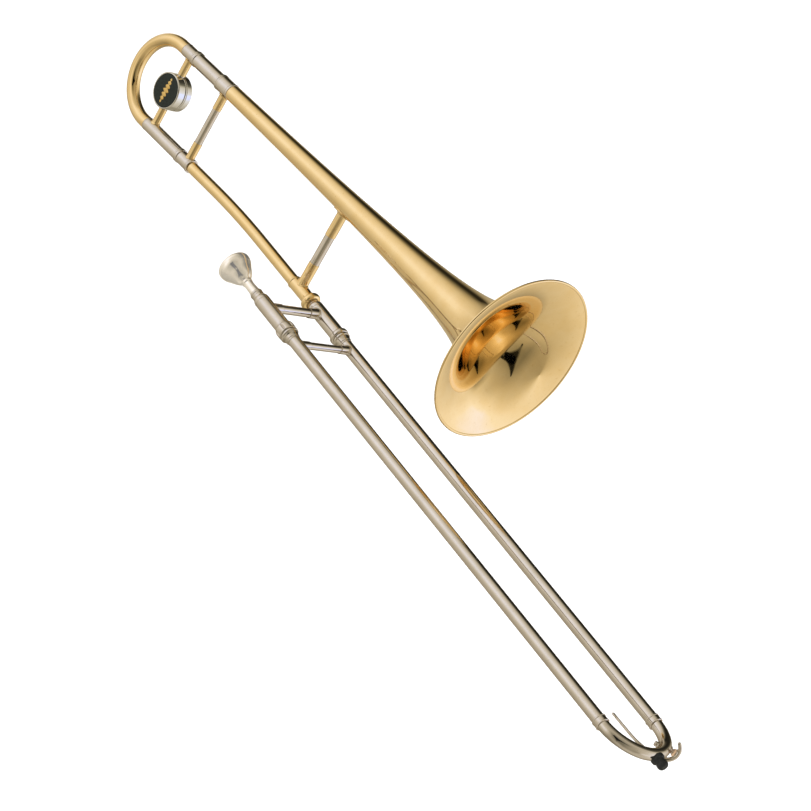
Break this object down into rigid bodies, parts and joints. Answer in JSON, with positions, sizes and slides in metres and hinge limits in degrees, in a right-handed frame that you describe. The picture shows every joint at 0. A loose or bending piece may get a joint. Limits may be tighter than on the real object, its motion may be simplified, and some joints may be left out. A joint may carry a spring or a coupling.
{
  "type": "slide trombone",
  "caption": "Tenor slide trombone with a flared bell, a telescoping hand slide, a tuning slide with a counterweight, braces, a water key and a removable mouthpiece.",
  "frame": {"origin": "middle of the inner slide brace, where the player's left hand holds the instrument", "axes": "+Y forward along the hand slide, towards the slide bow; +Z from the bell-side slide tube to the mouthpiece-side tube, up in the playing position; the bell lies towards -X, the player's left"},
  "size_m": [0.2717, 1.1753, 0.2105],
  "materials": {
    "lacquered_brass": "polished and clear lacquered",
    "nickel_silver": "polished nickel silver, slightly warm",
    "chrome_plate": "polished plate",
    "silver_plate": "polished silver plate",
    "black_rubber": "moulded rubber",
    "key_cork": "natural cork",
    "felt": "pressed felt",
    "black_enamel": "glossy black enamel",
    "steel": "bright steel"
  },
  "bodies": {
    "inner_slide": {"mouthpiece_receiver": "nickel_silver", "leadpipe": "lacquered_brass", "slide_tenon": "nickel_silver", "cork_barrel_mouthpiece_side": "nickel_silver", "cork_barrel_bell_side": "nickel_silver", "inner_tube_mouthpiece_side": "chrome_plate", "inner_tube_bell_side": "chrome_plate", "cork_bumper_mouthpiece_side": "felt", "cork_bumper_bell_side": "felt", "inner_brace_socket_bell_side": "nickel_silver", "inner_brace_socket_mouthpiece_side": "nickel_silver", "inner_brace_tube": "nickel_silver"},
    "mouthpiece": {"mouthpiece": "silver_plate"},
    "lock_nut": {"bell_lock_nut": "lacquered_brass"},
    "lock_ring": {"slide_lock_ring": "nickel_silver"},
    "outer_slide": {"outer_tube_mouthpiece_side": "nickel_silver", "outer_tube_bell_side": "nickel_silver", "top_ferrule_mouthpiece_side": "nickel_silver", "top_ferrule_bell_side": "nickel_silver", "bow_ferrule_mouthpiece_side": "nickel_silver", "bow_ferrule_bell_side": "nickel_silver", "outer_brace_socket_bell_side": "nickel_silver", "outer_brace_socket_mouthpiece_side": "nickel_silver", "outer_brace_tube": "nickel_silver", "slide_bow": "nickel_silver", "bumper_post": "nickel_silver", "rubber_bumper": "black_rubber", "water_key_nipple": "nickel_silver", "water_key_saddle": "nickel_silver", "water_key_pivot_screw": "steel", "water_key_spring": "steel"},
    "water_key": {"water_key_lever": "nickel_silver", "water_key_cork": "key_cork"},
    "bell_section": {"bell": "lacquered_brass", "bell_rim_wire": "lacquered_brass", "bell_ferrule": "nickel_silver", "tuning_sleeve_upper": "nickel_silver", "gooseneck": "lacquered_brass", "gooseneck_ferrule": "nickel_silver", "gooseneck_leg_tube": "nickel_silver", "bell_receiver": "lacquered_brass", "rear_brace_socket_bell": "lacquered_brass", "rear_brace_socket_gooseneck": "lacquered_brass", "rear_brace_tube": "nickel_silver", "front_brace_socket_bell": "lacquered_brass", "front_brace_socket_gooseneck": "lacquered_brass", "front_brace_tube": "nickel_silver"},
    "tuning_slide": {"tuning_bow": "lacquered_brass", "tuning_ferrule_upper": "nickel_silver", "tuning_leg_tube": "nickel_silver", "tuning_sleeve_lower": "nickel_silver", "tuning_brace_socket_upper": "lacquered_brass", "tuning_brace_socket_lower": "lacquered_brass", "tuning_brace_tube": "nickel_silver", "counterweight_front": "chrome_plate", "counterweight_back": "chrome_plate", "counterweight_disc": "black_enamel", "counterweight_screw_rear": "steel", "counterweight_screw_fore": "steel"}
  },
  "joints": [
    {"name": "hand_slide", "type": "slide", "parent": "inner_slide", "child": "outer_slide", "axis": [0, 1, 0], "range_m": [0, 0.575]},
    {"name": "bell_swivel", "type": "hinge", "parent": "inner_slide", "child": "bell_section", "pos_m": [0, -0.03, -0.04325], "axis": [0, -1, 0], "range_deg": [-35, 215]},
    {"name": "tuning_slide_pull", "type": "slide", "parent": "bell_section", "child": "tuning_slide", "axis": [0.0896, -0.996, 0.0018], "range_m": [0, 0.05]},
    {"name": "lock_nut_turn", "type": "hinge", "parent": "inner_slide", "child": "lock_nut", "pos_m": [0, -0.023, -0.04325], "axis": [0, 1, 0], "continuous": true},
    {"name": "lock_ring_turn", "type": "hinge", "parent": "inner_slide", "child": "lock_ring", "pos_m": [0, 0.04, 0.04325], "axis": [0, 1, 0], "range_deg": [0, 45]},
    {"name": "mouthpiece_pull", "type": "slide", "parent": "inner_slide", "child": "mouthpiece", "axis": [0, -1, 0], "range_m": [0, 0.025]},
    {"name": "water_key_press", "type": "hinge", "parent": "outer_slide", "child": "water_key", "pos_m": [0.0118, 0.68853, -0.0278], "axis": [0, -0.6428, -0.766], "range_deg": [0, 12], "stiffness_Nm_per_rad": 0.15, "springref_deg": -17.19}
  ]
}
